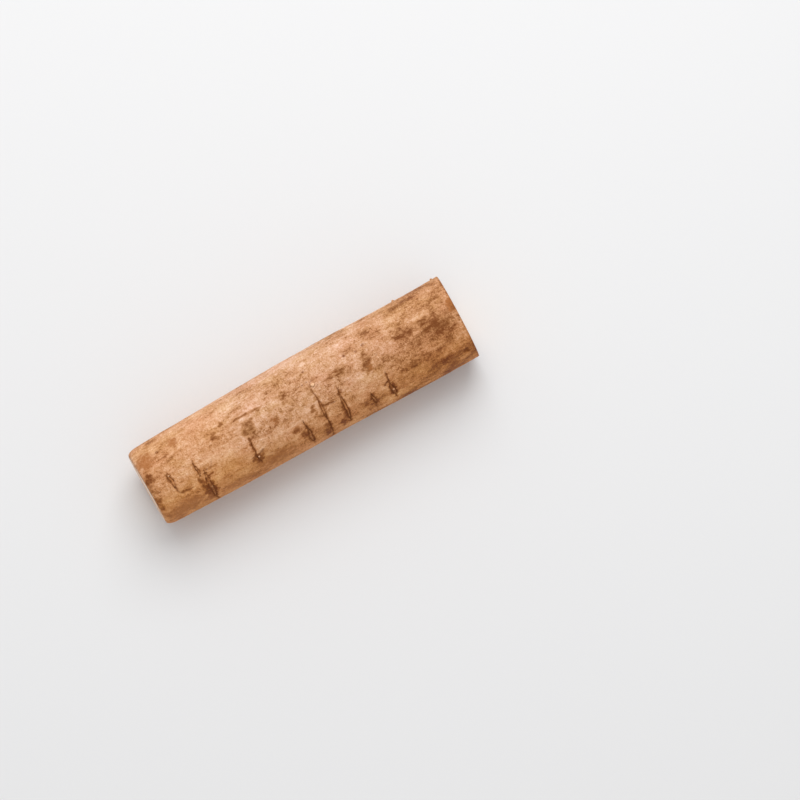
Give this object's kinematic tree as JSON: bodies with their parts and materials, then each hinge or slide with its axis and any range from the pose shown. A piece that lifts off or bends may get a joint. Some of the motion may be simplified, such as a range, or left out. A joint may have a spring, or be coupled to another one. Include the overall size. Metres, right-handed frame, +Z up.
{
  "type": "burdock root",
  "caption": "Cut length of burdock root lying on its side: tan, slit and stubbly skin, a slightly flattened underside and two knife-cut ends.",
  "frame": {"origin": "middle of the root's bounding box, at its underside, on the surface that it rests on", "axes": "+X along the root from its thinner cut end to its thicker one, +Z up"},
  "size_m": [0.1212, 0.0308, 0.0304],
  "materials": {
    "root_skin": "dry, dull root skin with a faint earthy sheen"
  },
  "bodies": {
    "root": {"burdock_root": "root_skin"}
  },
  "joints": []
}
